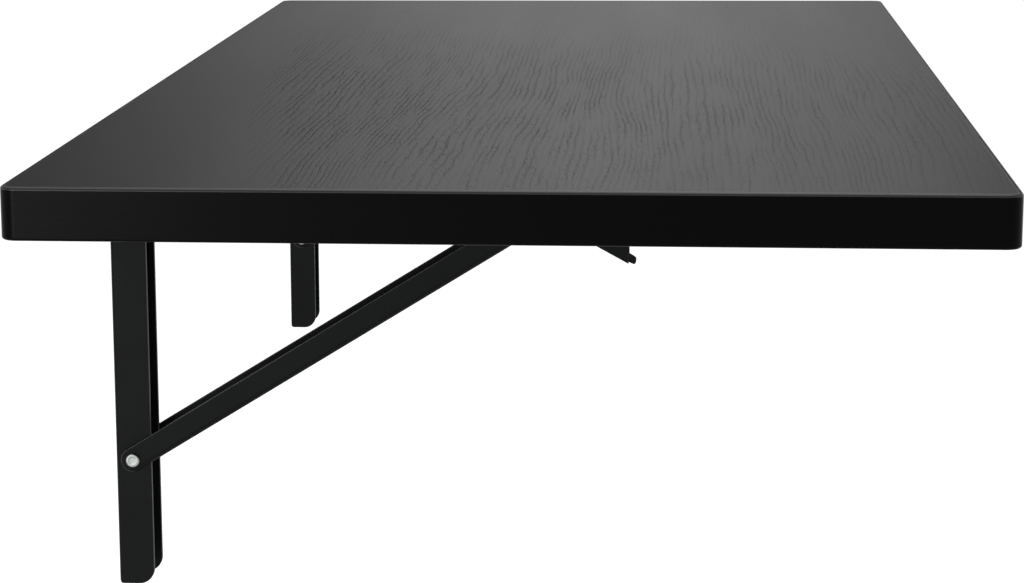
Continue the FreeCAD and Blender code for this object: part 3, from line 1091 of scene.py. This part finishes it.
@dataclass(frozen=True)
class FoldingBracket:
    """One bracket: wall plate, arm, brace and what joins them."""

    side: Side
    sheet: float = 2.0
    edge: float = 0.28
    plate_corner: float = 9.0
    plate_heel: float = 2.0
    plate_top_round: float = 10.0
    wall_hole: float = 6.5
    wall_hole_spacing: float = 160.0
    brace_height: float = 13.4
    brace_open_foot: float = 80.0
    brace_open_head: float = 18.0
    end_ease: float = 0.004
    arm_rear_round: float = 9.0
    arm_front_round: float = 12.0
    slot_width: float = 7.6
    slot_ends: float = 0.9995
    slot_steps: int = 14
    seat_depth: float = 2.5
    seat_start: float = 0.6
    screw_hole: float = 5.4
    screws: tuple[float, ...] = (36.0, 95.0, 150.0, 190.0, 430.0)
    arm_rivet: CrossRivet = CrossRivet(8.0, 13.0, 2.0)
    brace_rivet: CrossRivet = CrossRivet(5.0, 7.7, 1.3)
    lever_pin: CrossRivet = CrossRivet(4.5, 7.0, 1.2)

    def node(self, name: str) -> str:
        """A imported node's name on this side."""
        return f"{self.side.value}_{name}"

    def build(self) -> None:
        """Make and dress every piece of the bracket."""
        self.wall_plate()
        self.leaf_arm()
        self.folding_brace()
        self.rivets()
        self.board_screws()
        self.small_parts()

    def wall_plate(self) -> None:
        """The upright channel, web to the wall."""
        low, high = corners_of(self.node("wall_plate"))
        channel = FoldedChannel(
            (high.z - low.z) / MM, (high.y - low.y) / MM, (high.x - low.x) / MM,
            start_round=self.plate_corner, end_round=self.plate_top_round, heel=self.plate_heel)
        piece = channel.fold(self.node("upright"))
        middle = (low.y + high.y) / 2
        # The channel stands up, its web to the wall.
        piece.move(Matrix(((0, 0, 1, low.x), (0, -1, 0, middle), (1, 0, 0, low.z), (0, 0, 0, 1))))
        piece.subtract(*self.drills(self.wall_hole, Along.X, *(
            Vector((0, middle, height * MM))
            for height in (-self.wall_hole_spacing / 2, 0.0, self.wall_hole_spacing / 2))))
        self.coat(piece, "wall_side", "wall_plate")

    def drills(self, diameter: float, along: Along, *centres: Vector) -> list[Workpiece]:
        """Drills for holes of so many millimetres, long enough to go through the sheet."""
        return [Workpiece.rod("drill", centre, diameter * MM, 4 * self.sheet * MM, along)
                for centre in centres]

    def coat(self, piece: Workpiece, body: str, node: str) -> None:
        """Round a sheet part's rims and coat it, on a body, in place of this side's node; the rims
        are lighter, a painted highlight.
        """
        piece.open_rim().soften(self.edge * MM)
        dress(piece, Stock.STEEL, body, self.node(node), rim=Stock.RIM_PAINTED_HIGHLIGHT)

    def leaf_arm(self) -> None:
        """The arm under the board, web up, with its slide slot and screw holes."""
        low, high = corners_of(self.node("leaf_arm"))
        channel = FoldedChannel(
            (high.x - low.x) / MM, (high.y - low.y) / MM, (high.z - low.z) / MM,
            start_round=self.arm_rear_round, end_round=self.arm_front_round)
        piece = channel.fold(self.node("support_arm"))
        middle = (low.y + high.y) / 2
        # The channel turns over, its web to the board.
        piece.move(Matrix(((1, 0, 0, low.x), (0, -1, 0, middle), (0, 0, -1, high.z), (0, 0, 0, 1))))
        pivot = middle_of(self.node("arm_pivot_rivet"))
        piece.subtract(*self.slot_tools(high.y - low.y), *self.drills(
            self.screw_hole, Along.Z,
            *(Vector((pivot.x + screw * MM, middle, high.z)) for screw in self.screws)))
        self.coat(piece, "leaf", "leaf_arm")

    def slot_tools(self, width: float) -> list[Workpiece]:
        """The slide slot: a long run, and the seat above its near end.

        Args:
            width: Width of the arm, in metres.

        Returns:
            The tools that cut both flanges.
        """
        pin = middle_of(self.node("slide_pin"))
        foot = middle_of(self.node("brace_pivot_rivet"))
        far = Vector((foot.x + pin.z - foot.z + (pin - foot).length, pin.y, pin.z))
        start = pin - Vector((0, 0, self.seat_depth * MM))
        seat_foot = pin - Vector((0, 0, self.seat_start * self.seat_depth * MM))
        return [self.oblong(start, far, width), self.oblong(seat_foot, pin, width)]

    def oblong(self, start: Vector, end: Vector, width: float) -> Workpiece:
        """A round ended bar across the bracket that cuts one oblong.

        Args:
            start: Centre of one end, in metres.
            end: Centre of the other end, in metres.
            width: Width of what it cuts, in metres.

        Returns:
            The tool.
        """
        radius = self.slot_width / 2 * MM
        run = end - start
        tool = Workpiece.block("slot", Vector((-radius, -width, -radius)),
                               Vector((run.length + radius, width, radius)))
        # Just short of the full radius, so that the two roundings of an end don't meet.
        tool.round_edges(lambda ends: abs(ends[0].y - ends[1].y) > FINE,
                         self.slot_ends * radius, self.slot_steps)
        slope = math.atan2(run.z, run.x)
        return tool.move(Matrix.Translation(start) @ Matrix.Rotation(-slope, 4, "Y"))

    def folding_brace(self) -> None:
        """The strut: a channel open upward that straddles the wall plate."""
        foot = middle_of(self.node("brace_pivot_rivet"))
        head = middle_of(self.node("slide_pin"))
        low, high = corners_of(self.node("folding_brace"))
        reach = (head - foot).length
        radius = self.brace_height / 2
        width = (high.y - low.y) / MM
        channel = FoldedChannel(
            reach / MM + 2 * radius, width, self.brace_height,
            open_start=self.brace_open_foot + radius, open_end=self.brace_open_head + radius)
        piece = channel.fold(self.node("strut"))
        piece.subtract(*(self.end_tool(place, facing, radius, width)
                         for place, facing in ((radius, -1), (reach / MM + radius, 1)))).merge()
        slope = math.atan2(head.z - foot.z, head.x - foot.x)
        piece.move(Matrix.Translation(foot) @ Matrix.Rotation(-slope, 4, "Y")
                   @ Matrix.Translation((-radius * MM, 0, -radius * MM)))
        self.coat(piece, self.node("brace"), "folding_brace")

    def end_tool(self, place: float, facing: int, radius: float, width: float) -> Workpiece:
        """What a round end takes off the strut.

        Args:
            place: Where the end's centre lies along the strut, in millimetres.
            facing: Which way along the strut the end faces.
            radius: Radius of the end, in millimetres.
            width: Width of the strut, in millimetres.

        Returns:
            The tool.
        """
        ends = sorted((place, place + 2 * facing * radius))
        tool = Workpiece.block("end", Vector((ends[0], -width, -radius)) * MM,
                               Vector((ends[1], width, 3 * radius)) * MM)
        # A trace over the radius, so that the round end meets the straight edge in one crossing.
        keep = Workpiece.rod("keep", Vector((place, 0, radius)) * MM,
                             2 * (radius + self.end_ease) * MM, 4 * width * MM, Along.Y,
                             sides=64)
        return tool.subtract(keep)

    def rivets(self) -> None:
        """The cross rivets and the lever's pin."""
        for rivet, name, piece_name, body in (
            (self.arm_rivet, "arm_pivot_rivet", "arm_rivet", "wall_side"),
            (self.brace_rivet, "brace_pivot_rivet", "brace_rivet", "wall_side"),
            (self.lever_pin, "lever_pin", "lever_rivet", self.node("block")),
        ):
            node = self.node(name)
            dress(rivet.make(self.node(piece_name), node), Stock.ZINC, body, node)

    def board_screws(self) -> None:
        """Five screws up into the board, one mesh a bracket."""
        pivot = middle_of(self.node("arm_pivot_rivet"))
        high = corners_of(self.node("leaf_arm"))[1]
        face = high.z - self.sheet * MM
        first = PanHeadScrew().make(self.node("board_screws"))
        copies = [first.copy("screw") for _ in self.screws[1:]]
        for screw, reach in zip((first, *copies), self.screws):
            screw.move(Matrix.Translation((pivot.x + reach * MM, pivot.y, face)))
        first.join(*copies)
        dress(first, Stock.ZINC, "leaf", self.node("arm_screws"))

    def small_parts(self) -> None:
        """Slide pin, spacers, block and lever with softened edges, and the spring."""
        for name, piece_name, finish, body, width in (
            ("slide_pin", "cross_pin", Stock.ZINC, self.node("brace"), 0.4),
            ("arm_spacers", "spacer_tubes", Stock.ZINC, "wall_side", 0.12),
            ("slide_block", "guide_block", Stock.NYLON, self.node("block"), 0.35),
            ("release_lever", "finger_lever", Stock.STEEL, self.node("lever"), 0.2),
        ):
            piece = Workpiece.from_node(self.node(name), self.node(piece_name))
            piece.soften(width * MM)
            dress(piece, finish, body, self.node(name))
        paint(self.node("lever_spring"), Stock.WIRE)


@dataclass(frozen=True)
class Lamp:
    """A soft box that points at the table."""

    name: str
    place: tuple[float, float, float]
    size: tuple[float, float]
    power: float

    def hang(self, target: Vector) -> None:
        """Hang the lamp and aim it.

        Args:
            target: The point that it faces, in metres.
        """
        data = bpy.data.lights.new(self.name, "AREA")
        data.shape = "RECTANGLE"
        data.size, data.size_y = self.size
        data.energy = self.power
        item = bpy.data.objects.new(self.name, data)
        item.location = self.place
        item.rotation_euler = (target - item.location).to_track_quat("-Z", "Y").to_euler()
        item.visible_camera = False
        bpy.context.scene.collection.objects.link(item)


@dataclass(frozen=True)
class Studio:
    """A pale floor, soft boxes, a white surround and the camera.

    The surround's strips lie side by side along X: strip_start is the middle of one, and
    strip_gap the way to the next, both as the sideways part of a direction of length 1.
    """

    floor_height: float = -0.62
    floor_reach: float = 30.0
    floor_colour: str = "#ebebeb"
    surround: float = 0.42
    glow: float = 0.65
    strip_start: float = -0.02
    strip_gap: float = 0.48
    dim: float = 0.09
    bright: float = 0.9
    eye: tuple[float, float, float] = (0.31016, -1.82284, 0.3597)
    yaw: float = -5.6769
    pitch: float = 11.2658
    roll: float = -0.4843
    lens: float = 97.261
    sensor: float = 36.0
    shift: float = 0.1
    aim: tuple[float, float, float] = (0.22, 0.0, 0.1)
    lamps: tuple[Lamp, ...] = (
        Lamp("Overhead soft box", (0.4, 0.2, 2.6), (3.0, 3.0), 44.0),
        Lamp("Left soft box", (-0.98, -2.93, -0.05), (0.8, 0.9), 21.0),
    )

    def build(self) -> None:
        """Set up the whole studio."""
        self.floor()
        self.world()
        for lamp in self.lamps:
            lamp.hang(Vector(self.aim))
        self.camera()
        bpy.context.scene.view_settings.view_transform = "Standard"

    def floor(self) -> None:
        """A pale floor that is white to the eye and still takes the table's shadow."""
        bpy.ops.object.select_all(action="DESELECT")
        bpy.ops.mesh.primitive_plane_add(size=2 * self.floor_reach,
                                         location=(0, 0, self.floor_height))
        item = bpy.context.object
        item.name = "studio_floor"
        made = bpy.data.materials.new("Pale studio floor")
        made.use_nodes = True
        tree = made.node_tree
        tree.nodes.remove(tree.nodes["Principled BSDF"])
        matt = add_node(tree, "BsdfDiffuse", {"Color": linear(self.floor_colour)})
        path = add_node(tree, "LightPath").outputs
        seen = self.strongest(tree, path["Is Camera Ray"], path["Is Glossy Ray"],
                              path["Is Transmission Ray"])
        glow = add_node(tree, "Math", {"operation": "MULTIPLY", 1: self.glow}, {0: seen})
        light = add_node(tree, "Emission", {"Color": (1, 1, 1, 1)}, {"Strength": glow})
        lit = add_node(tree, "AddShader", links={0: matt, 1: light})
        # From below the floor is clear, so that the underside can be looked at.
        under = add_node(tree, "NewGeometry").outputs["Backfacing"]
        clear = add_node(tree, "BsdfTransparent")
        sided = add_node(tree, "MixShader", links={0: under, 1: lit, 2: clear})
        tree.links.new(sided.outputs[0], tree.nodes["Material Output"].inputs["Surface"])
        item.data.materials.append(made)

    def strongest(self, tree: bpy.types.NodeTree, first: bpy.types.NodeSocket,
                  *others: bpy.types.NodeSocket) -> bpy.types.NodeSocket:
        """The highest of several values.

        Args:
            tree: The node tree.
            first: One value.
            *others: The rest.

        Returns:
            The highest.
        """
        for other in others:
            first = add_node(tree, "Math", {"operation": "MAXIMUM"},
                             {0: first, 1: other}).outputs[0]
        return first

    def world(self) -> None:
        """A white surround that lights the table softly, in tall soft strips to its gloss."""
        surround = bpy.data.worlds.new("Studio surround")
        surround.use_nodes = True
        tree = surround.node_tree
        path = add_node(tree, "LightPath").outputs
        heading = add_node(tree, "TexCoord").outputs["Generated"]
        sideways = add_node(tree, "SeparateXYZ", links={0: heading})
        turns = 2 * math.pi / self.strip_gap
        aside = add_node(tree, "Math", {"operation": "MULTIPLY_ADD", 1: turns,
                                        2: -turns * self.strip_start}, {0: sideways})
        swing = add_node(tree, "Math", {"operation": "COSINE"}, {0: aside})
        bank = add_node(tree, "MapRange",
                        {"From Min": -1.0, "To Min": self.dim, "To Max": self.bright},
                        {"Value": swing})
        lit = add_node(tree, "MapRange", {"To Min": self.surround},
                       {"Value": path["Is Glossy Ray"], "To Max": bank})
        strength = self.strongest(tree, lit.outputs[0], path["Is Camera Ray"],
                                  path["Is Transmission Ray"])
        tree.links.new(strength, tree.nodes["Background"].inputs["Strength"])
        tree.nodes["Background"].inputs["Color"].default_value = (1, 1, 1, 1)
        bpy.context.scene.world = surround

    def camera(self) -> None:
        """The camera off the end of the table, looking along the wall and a little down."""
        yaw, pitch, roll = (math.radians(angle) for angle in (self.yaw, self.pitch, self.roll))
        forward = Vector((math.sin(yaw) * math.cos(pitch), math.cos(yaw) * math.cos(pitch),
                          -math.sin(pitch)))
        level = Vector((math.cos(yaw), -math.sin(yaw), 0.0))
        upright = level.cross(forward)
        right = math.cos(roll) * level + math.sin(roll) * upright
        top = -math.sin(roll) * level + math.cos(roll) * upright
        data = bpy.data.cameras.new("Table camera")
        data.sensor_fit = "HORIZONTAL"
        data.sensor_width = self.sensor
        data.lens = self.lens
        data.shift_x = self.shift
        item = bpy.data.objects.new("Table camera", data)
        turn = Matrix((right, top, -forward)).transposed().to_4x4()
        item.matrix_world = Matrix.Translation(self.eye) @ turn
        bpy.context.scene.collection.objects.link(item)
        bpy.context.scene.camera = item


def main() -> None:
    """Build the table and its studio, and note the size of the result."""
    logging.basicConfig(level=logging.INFO, format="%(message)s")
    Worktop().build()
    for side in Side:
        FoldingBracket(side).build()
    Studio().build()


if __name__ == "__main__":
    main()
